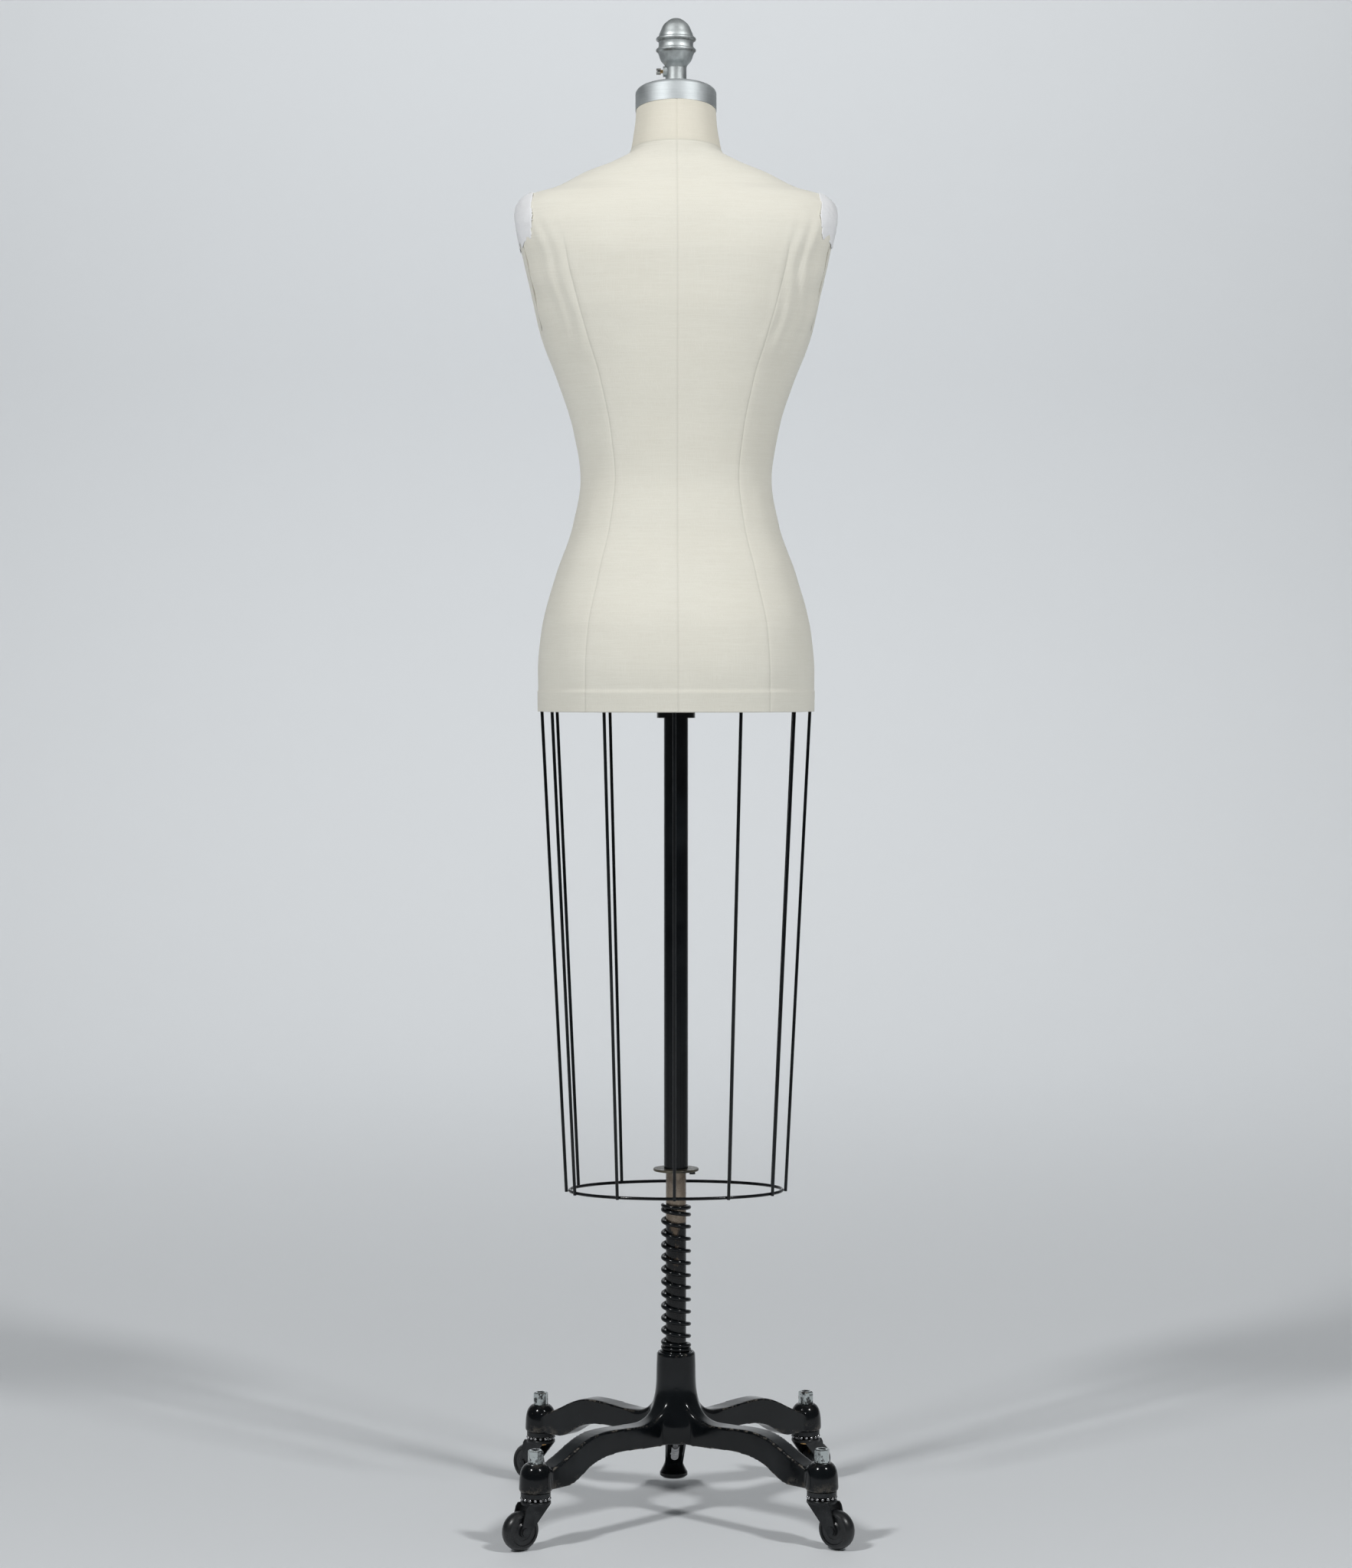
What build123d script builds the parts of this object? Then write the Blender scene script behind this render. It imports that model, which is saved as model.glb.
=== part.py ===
from build123d import *
import os
from math import cos, pi, radians, sin

# Dress form on a rolling cast-iron base.
# Origin on the floor under the pole, +Z up, the form's front faces +Y, its left arm is at -X.
os.makedirs("parts", exist_ok=True)

# ---- driving dimensions, millimetres ----
POLE_R = 12.75
POLE_BOTTOM = 98
POLE_TOP = 930
MAST_R = 15.15
MAST_WALL = 1.8
MAST_BOTTOM = 436.5
MAST_TOP = 1099.5
RUNNING_FIT = 0.05
CLEAR = 0.35

HUB_TOP = 206
HUB_R = 24
HUB_UNDER = 94
LEG_WIDTH = 25
STEM_RADIUS = 245
LEG_ANGLES = (45, 135, 225, 315)

SPRING_TOP = 392.5
SPRING_SEAT = 190
SPRING_PITCH = 15.6
SPRING_WIRE_R = 2.15
SPRING_COIL_R = 16.8

WHEEL_R = 24
WHEEL_WIDTH = 18
TRAIL = 22.5
STEM_R = 5
AXLE_R = 3
SOCKET_BOTTOM = 68
SOCKET_TOP = 103
NUT_TOP = 119
CASTER_TURNS = {"front_right": 50, "front_left": 135, "back_left": 215, "back_right": 320}

PEDAL_TILT = 24
PEDAL_PIVOT_Y = 22
PEDAL_PIVOT_Z = 86.3
PEDAL_PIN_R = 3
PAD_Y = 149

RING_Z = 409
RING_A = 133.5
RING_B = 78
CAGE_WIRE_R = 2
CAGE_ANGLES = (0, 27, 59.5, 90, 119.5, 153, 180, 203, 237.5, 268.5, 297.5, 330)
BODY_BOTTOM = 1010
BODY_A = 172
BODY_FRONT = 105
BODY_BACK = 122
SHELL_WALL = 8

CAP_Z = 1757
CAP_TILT = 9.1
CAP_R = 50.5
CAP_HEIGHT = 27.2
CAP_ROUNDING = 6.5
ROD_R = 8
SCREW_Z = 1806
FINIAL_TOP = 1872

ARM_X = 190.2
ARM_Z = 1572
ARM_TILT = 12.2

# Body sections from the hem up: height, half width, front depth, back depth, squareness.
SECTIONS = (
    (1010, 172, 105, 122, 2.3),
    (1060, 172.5, 108, 126, 2.3),
    (1110, 168, 104, 122, 2.3),
    (1180, 150, 95, 104, 2.2),
    (1240, 129, 88, 88, 2.2),
    (1300, 119, 84, 80, 2.2),
    (1360, 128, 92, 84, 2.2),
    (1420, 147, 112, 92, 2.2),
    (1470, 165, 122, 98, 2.3),
    (1520, 180, 108, 101, 2.4),
    (1570, 193, 90, 101, 2.5),
    (1610, 199.5, 76, 96, 2.5),
    (1636, 198, 66, 88, 2.3),
    (1651, 184, 60, 80, 2.1),
    (1662, 150, 56, 72, 1.9),
    (1681, 112, 54, 64, 1.8),
    (1702, 62, 54, 57, 2.0),
    (1722, 54, 54, 54, 2.0),
    (1748, 50.5, 50.5, 50.5, 2.0),
    (1775, 49.3, 49.3, 49.3, 2.0),
)
RIM_POINTS = 20


def save(piece, name):
    """Label a finished piece and write it under its own name."""
    piece.part.label = name
    export_step(piece.part, "parts/" + name + ".step")


def radial_plane(angle, radius=0.0):
    """Upright plane through the pole: local x runs outward along the angle, local y is up."""
    a = radians(angle)
    return Plane(
        origin=(radius * cos(a), radius * sin(a), 0),
        x_dir=(cos(a), sin(a), 0),
        z_dir=(sin(a), -cos(a), 0),
    )


def rim(half_width, front, back, squareness):
    """Points round one body section, from the right side through the front."""
    points = []
    for i in range(RIM_POINTS):
        t = 2 * pi * i / RIM_POINTS
        c = cos(t)
        s = sin(t)
        x = half_width * abs(c) ** (2 / squareness) * (1 if c >= 0 else -1)
        depth = front if s >= 0 else back
        y = depth * abs(s) ** (2 / squareness) * (1 if s >= 0 else -1)
        points.append((x, y))
    return points


def oval_point(a, b, angle, z):
    """A point on a level oval, at the oval's own angle."""
    t = radians(angle)
    return (a * cos(t), b * sin(t), z)


# ---- base: hub, four legs and caster sockets in one casting ----
with BuildPart() as base_casting:
    with BuildSketch(Plane.XZ):
        with BuildLine():
            Polyline((0, HUB_UNDER), (34, HUB_UNDER), (37, HUB_UNDER + 3), (37, 118))
            Spline((37, 118), (31, 137), (27, 152), (25.5, 168))
            Polyline((25.5, 168), (HUB_R, HUB_TOP - 2), (HUB_R - 2, HUB_TOP), (0, HUB_TOP), (0, HUB_UNDER))
        make_face()
    revolve(axis=Axis.Z)
    for angle in LEG_ANGLES:
        with BuildSketch(radial_plane(angle)):
            with BuildLine():
                Spline((14, 166), (29, 143), (43, 130), (72, 123.5), (125, 126), (160, 123), (198, 107), (224, 96))
                Polyline((224, 96), (234, 90), (234, 69.5), (206, 69.5))
                Spline((206, 69.5), (186, 74), (164, 86.5), (140, 94), (95, 96), (14, 94.5))
                Line((14, 94.5), (14, 166))
            make_face()
        extrude(amount=LEG_WIDTH / 2, both=True)
    for angle in LEG_ANGLES:
        with BuildSketch(radial_plane(angle, STEM_RADIUS)):
            with BuildLine():
                Polyline((0, SOCKET_BOTTOM), (17.8, SOCKET_BOTTOM), (20.4, SOCKET_BOTTOM + 2.8))
                Spline((20.4, SOCKET_BOTTOM + 2.8), (20, 80), (19, 90), (16.5, 97.5), (11, SOCKET_TOP))
                Polyline((11, SOCKET_TOP), (0, SOCKET_TOP), (0, SOCKET_BOTTOM))
            make_face()
        stem_foot = (STEM_RADIUS * cos(radians(angle)), STEM_RADIUS * sin(radians(angle)), 0)
        revolve(axis=Axis(stem_foot, (0, 0, 1)))
    with BuildSketch(Plane.XY.offset(HUB_UNDER - 11)):
        with Locations((-15.5, PEDAL_PIVOT_Y), (15.5, PEDAL_PIVOT_Y)):
            Rectangle(4, 14)
    extrude(amount=13)
    with Locations(Plane.XY.offset(HUB_TOP)):
        Hole(POLE_R, depth=HUB_TOP - POLE_BOTTOM)
        CounterBoreHole(POLE_R, SPRING_COIL_R + SPRING_WIRE_R + 0.4, HUB_TOP - SPRING_SEAT, depth=60)
    with PolarLocations(STEM_RADIUS, 4, start_angle=45):
        Hole(STEM_R)
    with Locations(Plane.YZ.offset(30) * Location((PEDAL_PIVOT_Y, PEDAL_PIVOT_Z, 0))):
        Hole(PEDAL_PIN_R, depth=60)
save(base_casting, "base_casting")

# ---- pole fixed in the hub ----
with BuildPart() as lower_pole:
    with BuildSketch(Plane.XY.offset(POLE_BOTTOM)):
        Circle(POLE_R)
        Circle(POLE_R - 2.5, mode=Mode.SUBTRACT)
    extrude(amount=POLE_TOP - POLE_BOTTOM)
save(lower_pole, "lower_pole")

# ---- left-hand buffer spring standing in the hub's recess ----
SPRING_LOW = SPRING_SEAT + SPRING_WIRE_R + 0.1
SPRING_HIGH = SPRING_TOP - SPRING_WIRE_R
with BuildPart() as buffer_spring:
    with BuildLine(Plane.XY.offset(SPRING_LOW)):
        Helix(SPRING_PITCH, SPRING_HIGH - SPRING_LOW, SPRING_COIL_R, lefthand=True)
    with BuildSketch(Plane(origin=(SPRING_COIL_R, 0, SPRING_LOW), x_dir=(1, 0, 0), z_dir=(0, -1, 0.148))):
        Circle(SPRING_WIRE_R)
    sweep(is_frenet=True)
    for height in (SPRING_LOW, SPRING_HIGH):
        with BuildSketch(Plane.XZ):
            with Locations((SPRING_COIL_R, height)):
                Circle(SPRING_WIRE_R)
        revolve(axis=Axis.Z)
save(buffer_spring, "buffer_spring")

# ---- caster hardware fixed in the sockets ----
with BuildPart() as caster_stems:
    with PolarLocations(STEM_RADIUS, 4, start_angle=45):
        with Locations((0, 0, 53.9)):
            Cylinder(STEM_R, NUT_TOP - 2.5 - 53.9, align=(Align.CENTER, Align.CENTER, Align.MIN))
        with Locations((0, 0, 50.2)):
            Cylinder(7.5, 3.7, align=(Align.CENTER, Align.CENTER, Align.MIN))
save(caster_stems, "caster_stems")

NUT_R = 9.6
with BuildPart() as caster_nuts:
    with BuildSketch(Plane.XY.offset(SOCKET_TOP)):
        with PolarLocations(STEM_RADIUS, 4, start_angle=45):
            RegularPolygon(NUT_R, 6)
            Circle(STEM_R, mode=Mode.SUBTRACT)
    extrude(amount=NUT_TOP - SOCKET_TOP)
    chamfer(caster_nuts.edges().filter_by(GeomType.LINE).group_by(Axis.Z)[-1], 1.3)
save(caster_nuts, "caster_nuts")

with BuildPart() as caster_cups:
    with BuildSketch(Plane.XY.offset(62.6)):
        with PolarLocations(STEM_RADIUS, 4, start_angle=45):
            Circle(18.2)
            Circle(STEM_R, mode=Mode.SUBTRACT)
    extrude(amount=SOCKET_BOTTOM - 62.6)
save(caster_cups, "caster_bearing_cups")

BALL_R = 2.1
with BuildPart() as bearing_balls:
    for angle in LEG_ANGLES:
        centre = (STEM_RADIUS * cos(radians(angle)), STEM_RADIUS * sin(radians(angle)))
        with Locations((centre[0], centre[1], 60.4)):
            with PolarLocations(16.8, 16):
                Sphere(BALL_R)
save(bearing_balls, "caster_bearing_balls")


def caster(name, angle, turn):
    """Fork, axle and wheel of the caster on one leg, trailing from its stem at its own turn."""
    foot = radial_plane(angle, STEM_RADIUS).origin
    trail = radial_plane(turn)
    side = Plane(origin=foot, x_dir=trail.x_dir, z_dir=trail.z_dir)
    with BuildPart() as fork:
        with BuildSketch(Plane(origin=(foot.X, foot.Y, 54))):
            Circle(18.6)
            Circle(STEM_R + RUNNING_FIT, mode=Mode.SUBTRACT)
        extrude(amount=4)
        fillet(fork.edges().filter_by(GeomType.CIRCLE).group_by(SortBy.RADIUS)[-1].sort_by(Axis.Z)[-1], 1.8)
        for offset_y in (WHEEL_WIDTH / 2 + 0.9, -WHEEL_WIDTH / 2 - 3.1):
            with BuildSketch(side.offset(offset_y)):
                with BuildLine():
                    Polyline((-13, 56), (18, 56), (21, 52), (27.5, 28), (TRAIL, 19), (17, 20.5), (-13, 53), (-13, 56))
                make_face()
                with Locations((TRAIL, WHEEL_R)):
                    Circle(6.6)
                    Circle(AXLE_R, mode=Mode.SUBTRACT)
            extrude(amount=2.2)
    save(fork, "caster_fork_" + name)
    with BuildPart() as axle:
        with BuildSketch(side.offset(-13.9)):
            with Locations((TRAIL, WHEEL_R)):
                Circle(AXLE_R)
        extrude(amount=27.8)
        for start in (12.15, -13.9):
            with BuildSketch(side.offset(start)):
                with Locations((TRAIL, WHEEL_R)):
                    Circle(5)
            extrude(amount=1.75)
    save(axle, "caster_axle_" + name)
    # The wheel's section lies in a level plane through the axle and turns about the axle.
    level = Plane(origin=side.from_local_coords((TRAIL, WHEEL_R, 0)), x_dir=side.x_dir, z_dir=(0, 0, 1))
    with BuildPart() as wheel:
        with BuildSketch(level):
            with BuildLine():
                Polyline((AXLE_R + RUNNING_FIT, -9), (9, -9), (11, -7.5), (16.5, -7.5), (17.5, -9), (20, -9))
                ThreePointArc((20, -9), (WHEEL_R, 0), (20, 9))
                Polyline((20, 9), (17.5, 9), (16.5, 7.5), (11, 7.5), (9, 9), (AXLE_R + RUNNING_FIT, 9))
                Line((AXLE_R + RUNNING_FIT, 9), (AXLE_R + RUNNING_FIT, -9))
            make_face()
        revolve(axis=Axis(level.origin, level.y_dir))
    save(wheel, "caster_wheel_" + name)


for corner_angle, (corner, corner_turn) in zip(LEG_ANGLES, CASTER_TURNS.items()):
    caster(corner, corner_angle, corner_turn)

# ---- foot pedal: pin in the hub's ears, channel lever, return spring and bell foot ----
lever_cos = cos(radians(PEDAL_TILT))
lever_sin = sin(radians(PEDAL_TILT))
lever = Plane(
    origin=(0, PEDAL_PIVOT_Y, PEDAL_PIVOT_Z),
    x_dir=(0, lever_cos, -lever_sin),
    z_dir=(0, lever_sin, lever_cos),
)
LEVER_LENGTH = 134
LEVER_HALF_DEPTH = 5
LEVER_WALL = 2.6
with BuildPart() as foot_pad:
    with BuildSketch(Plane.YZ):
        with BuildLine():
            Polyline((PAD_Y, 13), (PAD_Y + 15, 13), (PAD_Y + 18, 15.5), (PAD_Y + 18, 19))
            Spline((PAD_Y + 18, 19), (PAD_Y + 15, 24.5), (PAD_Y + 12, 31), (PAD_Y + 11, 38))
            Polyline((PAD_Y + 11, 38), (PAD_Y, 41), (PAD_Y, 13))
        make_face()
    revolve(axis=Axis((0, PAD_Y, 0), (0, 0, 1)))
save(foot_pad, "pedal_foot_pad")

with BuildPart() as pedal_lever:
    with BuildSketch(lever.offset(-LEVER_HALF_DEPTH)):
        Polygon((-4.2, -13), (LEVER_LENGTH, -11), (LEVER_LENGTH, 11), (-4.2, 13), align=None)
    extrude(amount=2 * LEVER_HALF_DEPTH)
    with BuildSketch(lever.offset(-LEVER_HALF_DEPTH)):
        Polygon((-6, -10.4), (LEVER_LENGTH - 22, -8.6), (LEVER_LENGTH - 22, 8.6), (-6, 10.4), align=None)
    extrude(amount=2 * LEVER_HALF_DEPTH - LEVER_WALL, mode=Mode.SUBTRACT)
    with BuildSketch(lever.offset(-LEVER_HALF_DEPTH)):
        with Locations((LEVER_LENGTH - 39, 0)):
            RectangleRounded(24, 10, 2)
    extrude(amount=2 * LEVER_HALF_DEPTH, mode=Mode.SUBTRACT)
    with Locations(Plane.YZ.offset(20) * Location((PEDAL_PIVOT_Y, PEDAL_PIVOT_Z, 0))):
        Hole(PEDAL_PIN_R + RUNNING_FIT, depth=40)
    add(foot_pad.part, mode=Mode.SUBTRACT)
save(pedal_lever, "foot_pedal")

with BuildPart() as pedal_pin:
    with BuildSketch(Plane.YZ.offset(-19.5)):
        with Locations((PEDAL_PIVOT_Y, PEDAL_PIVOT_Z)):
            Circle(PEDAL_PIN_R)
    extrude(amount=39)
save(pedal_pin, "pedal_pin")

PEDAL_SPRING_R = 4.3
PEDAL_SPRING_WIRE = 0.9
with BuildPart() as pedal_spring:
    with BuildLine() as coil:
        Helix(4.2, 66, PEDAL_SPRING_R, center=lever.from_local_coords((10, 0, -3.3)), direction=lever.x_dir)
    with BuildSketch(Plane(origin=coil.line @ 0, z_dir=coil.line % 0)):
        Circle(PEDAL_SPRING_WIRE)
    sweep(is_frenet=True)
save(pedal_spring, "pedal_return_spring")

# ---- sliding mast: tube, guide bushes, collar disc and catch screw ----
with BuildPart() as outer_tube:
    with BuildSketch(Plane.XY.offset(MAST_BOTTOM)):
        Circle(MAST_R)
        Circle(MAST_R - MAST_WALL, mode=Mode.SUBTRACT)
    extrude(amount=MAST_TOP - MAST_BOTTOM)
save(outer_tube, "mast_outer_tube")

for bush_name, bush_low in (("mast_bush_lower", MAST_BOTTOM), ("mast_bush_upper", 640)):
    with BuildPart() as bush:
        with BuildSketch(Plane.XY.offset(bush_low)):
            Circle(MAST_R - MAST_WALL)
            Circle(POLE_R + RUNNING_FIT, mode=Mode.SUBTRACT)
        extrude(amount=30)
    save(bush, bush_name)

COLLAR_THICKNESS = 3
with BuildPart() as collar_disc:
    with BuildSketch(Plane.XY.offset(MAST_BOTTOM - COLLAR_THICKNESS)):
        Circle(28.5)
        Circle(POLE_R + CLEAR, mode=Mode.SUBTRACT)
        with Locations((20.5, 0)):
            Circle(2, mode=Mode.SUBTRACT)
    extrude(amount=COLLAR_THICKNESS)
    fillet(collar_disc.edges().filter_by(GeomType.CIRCLE).group_by(SortBy.RADIUS)[-1], 0.8)
save(collar_disc, "mast_collar_disc")

with BuildPart() as catch_screw:
    with Locations((20.5, 0, MAST_BOTTOM - COLLAR_THICKNESS)):
        Cylinder(2, COLLAR_THICKNESS, align=(Align.CENTER, Align.CENTER, Align.MIN))
        Cylinder(3.8, 4.6, align=(Align.CENTER, Align.CENTER, Align.MAX))
save(catch_screw, "collar_catch_screw")

# ---- body shell and what it holds ----
arm_planes = []
for side in (-1, 1):
    tilt = radians(ARM_TILT)
    arm_planes.append(
        Plane(origin=(side * ARM_X, 0, ARM_Z), x_dir=(0, 1, 0), z_dir=(side * cos(tilt), 0, -sin(tilt)))
    )
ARM_HALF_DEPTH = 42
ARM_HALF_HEIGHT = 52
ARM_PLATE = 5
PATCH = 1.6
cap_plane = Plane.XY.offset(CAP_Z).rotated((-CAP_TILT, 0, 0))

COVER = 1.5


def body_sections(inset):
    """The body's level sections, drawn in by an inset."""
    sections = []
    for height, half_width, front, back, squareness in SECTIONS:
        drop = inset if height > 1630 else 0
        with BuildSketch(Plane.XY.offset(height - drop)) as section:
            with BuildLine():
                Spline(*rim(half_width - 1.2 * inset, front - inset, back - inset, squareness), periodic=True)
            make_face()
        sections.append(section.sketch)
    return sections


outer_sections = body_sections(0)
cover_sections = body_sections(COVER)
shell_sections = body_sections(COVER + 0.3)
hollow_sections = body_sections(COVER + SHELL_WALL)

with BuildPart() as linen_cover:
    loft(outer_sections)
    loft(cover_sections, mode=Mode.SUBTRACT)
    with BuildSketch(arm_planes[1].offset(-ARM_PLATE)):
        Ellipse(ARM_HALF_DEPTH, ARM_HALF_HEIGHT)
    extrude(amount=40, mode=Mode.SUBTRACT)
    split(bisect_by=cap_plane, keep=Keep.BOTTOM)
    split(bisect_by=Plane.YZ, keep=Keep.TOP)
    mirror(about=Plane.YZ)
save(linen_cover, "linen_cover")

with BuildPart() as torso_shell:
    loft(shell_sections)
    for plane in arm_planes:
        with BuildSketch(plane.offset(-ARM_PLATE)):
            Ellipse(ARM_HALF_DEPTH, ARM_HALF_HEIGHT)
        extrude(amount=40, mode=Mode.SUBTRACT)
    loft(hollow_sections, mode=Mode.SUBTRACT)
    split(bisect_by=cap_plane, keep=Keep.BOTTOM)

# The shell is moulded in a front and a back half, glued along the side seams.
for shell_name, half in (("torso_shell_front", Keep.BOTTOM), ("torso_shell_back", Keep.TOP)):
    with BuildPart() as shell_half:
        add(torso_shell.part)
        split(bisect_by=Plane.XZ, keep=half)
    save(shell_half, shell_name)

for side, plane in zip((-1, 1), arm_planes):
    side_name = "left" if side < 0 else "right"
    with BuildPart() as arm_plate:
        with BuildSketch(plane.offset(-ARM_PLATE)):
            Ellipse(ARM_HALF_DEPTH - CLEAR, ARM_HALF_HEIGHT - CLEAR)
        extrude(amount=ARM_PLATE)
    save(arm_plate, "arm_plate_" + side_name)
    with BuildPart() as patch:
        with BuildSketch(plane.offset(0.1)):
            Ellipse(ARM_HALF_DEPTH - 1, ARM_HALF_HEIGHT - 1)
            with Locations((0, side * (8 - ARM_HALF_HEIGHT))):
                Rectangle(4 * ARM_HALF_DEPTH, 2 * ARM_HALF_HEIGHT, mode=Mode.SUBTRACT)
        extrude(amount=PATCH)
    save(patch, "shoulder_patch_" + side_name)

# ---- bottom board, flange socket, screws, centre rod and neck block ----
BOARD = 18
FLANGE_R = 24
FLANGE_PLATE_R = 48
FLANGE_SCREW_PCR = 37
FLANGE_TOP = 1110
with BuildPart() as bottom_board:
    with BuildSketch(Plane.XY.offset(BODY_BOTTOM)):
        with BuildLine():
            inset = COVER + SHELL_WALL + 1
            Spline(*rim(BODY_A - 1.2 * inset, BODY_FRONT - inset, BODY_BACK - inset, 2.3), periodic=True)
        make_face()
        Circle(FLANGE_R + CLEAR, mode=Mode.SUBTRACT)
        with PolarLocations(FLANGE_SCREW_PCR, 4):
            Circle(2.5, mode=Mode.SUBTRACT)
    extrude(amount=BOARD)
save(bottom_board, "bottom_board")

BOARD_TOP = BODY_BOTTOM + BOARD
with BuildPart() as flange_socket:
    with BuildSketch(Plane.XZ):
        with BuildLine():
            Polyline(
                (MAST_R + RUNNING_FIT, 1002), (FLANGE_R, 1002), (FLANGE_R, BOARD_TOP),
                (FLANGE_PLATE_R, BOARD_TOP), (FLANGE_PLATE_R, BOARD_TOP + 6), (FLANGE_R, BOARD_TOP + 12),
                (FLANGE_R - 3, FLANGE_TOP), (0, FLANGE_TOP), (0, MAST_TOP + 0.5),
                (MAST_R + RUNNING_FIT, MAST_TOP + 0.5), (MAST_R + RUNNING_FIT, 1002),
            )
        make_face()
    revolve(axis=Axis.Z)
    with BuildSketch(Plane.XY.offset(BOARD_TOP)):
        with PolarLocations(FLANGE_SCREW_PCR, 4):
            Circle(2.5)
    extrude(amount=20, mode=Mode.SUBTRACT)
save(flange_socket, "flange_socket")

with BuildPart() as flange_screws:
    with PolarLocations(FLANGE_SCREW_PCR, 4):
        with Locations((0, 0, BODY_BOTTOM + 2)):
            Cylinder(2.5, BOARD + 6, align=(Align.CENTER, Align.CENTER, Align.MIN))
        with Locations((0, 0, BOARD_TOP + 10)):
            Cylinder(4.6, 3, align=(Align.CENTER, Align.CENTER, Align.MIN))
            Cylinder(2.5, 3, align=(Align.CENTER, Align.CENTER, Align.MAX))
save(flange_screws, "flange_screws")

ROD_TOP = 1828
with BuildPart() as centre_rod:
    with Locations((0, 0, FLANGE_TOP)):
        Cylinder(ROD_R, ROD_TOP - FLANGE_TOP, align=(Align.CENTER, Align.CENTER, Align.MIN))
save(centre_rod, "centre_rod")

with BuildPart() as neck_block:
    with BuildSketch(cap_plane):
        Circle(46)
    extrude(amount=20)
    with BuildSketch(Plane.XY.offset(1700)):
        Circle(ROD_R + 0.2)
    extrude(amount=100, mode=Mode.SUBTRACT)
save(neck_block, "neck_block")

# ---- neck cap, finial and thumb screw ----
with BuildPart() as neck_cap:
    with BuildSketch(cap_plane):
        Circle(CAP_R)
    extrude(amount=CAP_HEIGHT)
    fillet(neck_cap.faces().sort_by(Axis.Z)[-1].edges(), CAP_ROUNDING)
    with BuildSketch(cap_plane):
        Circle(CAP_R - 3)
    extrude(amount=CAP_HEIGHT - 3, mode=Mode.SUBTRACT)
    with BuildSketch(Plane.XY.offset(1700)):
        Circle(ROD_R + 0.2)
    extrude(amount=120, mode=Mode.SUBTRACT)
save(neck_cap, "neck_cap")

STEM_FINIAL_R = 13.1
SCREW_BOSS_R = 6.5
SCREW_SHANK_R = 2.2
with BuildPart() as finial:
    with BuildSketch(Plane.XZ):
        with BuildLine():
            Polyline((0, 1760), (STEM_FINIAL_R, 1760), (STEM_FINIAL_R, 1810.5))
            Spline((STEM_FINIAL_R, 1810.5), (15, 1814.6), (18, 1818), (21.4, 1826), (22.8, 1829.6))
            ThreePointArc((22.8, 1829.6), (24.9, 1832.4), (22.4, 1834.8))
            ThreePointArc((22.4, 1834.8), (21.5, 1839), (22.2, 1843.4))
            ThreePointArc((22.2, 1843.4), (24.9, 1846), (21.6, 1848.4))
            Spline((21.6, 1848.4), (19.7, 1855), (15.4, 1863.9), (8.5, 1869.8), (0, FINIAL_TOP), tangents=((0, 1), (-1, 0)))
            Line((0, FINIAL_TOP), (0, 1760))
        make_face()
    revolve(axis=Axis.Z)
    split(bisect_by=cap_plane.offset(CAP_HEIGHT), keep=Keep.TOP)
    with BuildSketch(Plane.XY.offset(1740)):
        Circle(ROD_R)
    extrude(amount=ROD_TOP - 1740, mode=Mode.SUBTRACT)
    with BuildSketch(Plane.YZ.offset(-16.2)):
        with Locations((0, SCREW_Z)):
            Circle(SCREW_BOSS_R)
    extrude(amount=7)
    fillet(finial.edges().filter_by(GeomType.CIRCLE).sort_by(Axis.X)[0], 1.6)
    with BuildSketch(Plane.YZ.offset(-20)):
        with Locations((0, SCREW_Z)):
            Circle(SCREW_SHANK_R + RUNNING_FIT)
    extrude(amount=12, mode=Mode.SUBTRACT)
save(finial, "finial")

with BuildPart() as thumb_screw:
    with BuildSketch(Plane.YZ.offset(-24.5)):
        with Locations((0, SCREW_Z)):
            Circle(4)
            Rectangle(9, 1.3, mode=Mode.SUBTRACT)
    extrude(amount=1.5)
    with BuildSketch(Plane.YZ.offset(-23)):
        with Locations((0, SCREW_Z)):
            Circle(4)
    extrude(amount=4)
    with BuildSketch(Plane.YZ.offset(-19)):
        with Locations((0, SCREW_Z)):
            Circle(SCREW_SHANK_R)
    extrude(amount=10.5)
save(thumb_screw, "finial_thumb_screw")

# ---- wire cage under the body ----
with BuildPart() as cage_ring:
    with BuildLine(Plane.XY.offset(RING_Z)):
        EllipticalCenterArc((0, 0), RING_A, RING_B, start_angle=0, arc_size=360)
    with BuildSketch(Plane.XZ):
        with Locations((RING_A, RING_Z)):
            Circle(CAGE_WIRE_R)
    sweep()
save(cage_ring, "cage_ring")

WIRE_OUT = 2 * CAGE_WIRE_R + 0.15
with BuildPart() as cage_wires:
    for angle in CAGE_ANGLES:
        depth = BODY_FRONT if 0 < angle < 180 else BODY_BACK
        low = Vector(*oval_point(RING_A + WIRE_OUT, RING_B + WIRE_OUT, angle, RING_Z - CAGE_WIRE_R))
        high = Vector(*oval_point(BODY_A - 4, depth - 4, angle, BODY_BOTTOM + 8))
        with BuildSketch(Plane(origin=low, z_dir=high - low)):
            Circle(CAGE_WIRE_R)
        extrude(amount=(high - low).length)
    split(bisect_by=Plane.XY.offset(BODY_BOTTOM), keep=Keep.BOTTOM)
save(cage_wires, "cage_wires")
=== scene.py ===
import math

import bmesh
import bpy
import numpy as np
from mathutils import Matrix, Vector, noise


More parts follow.
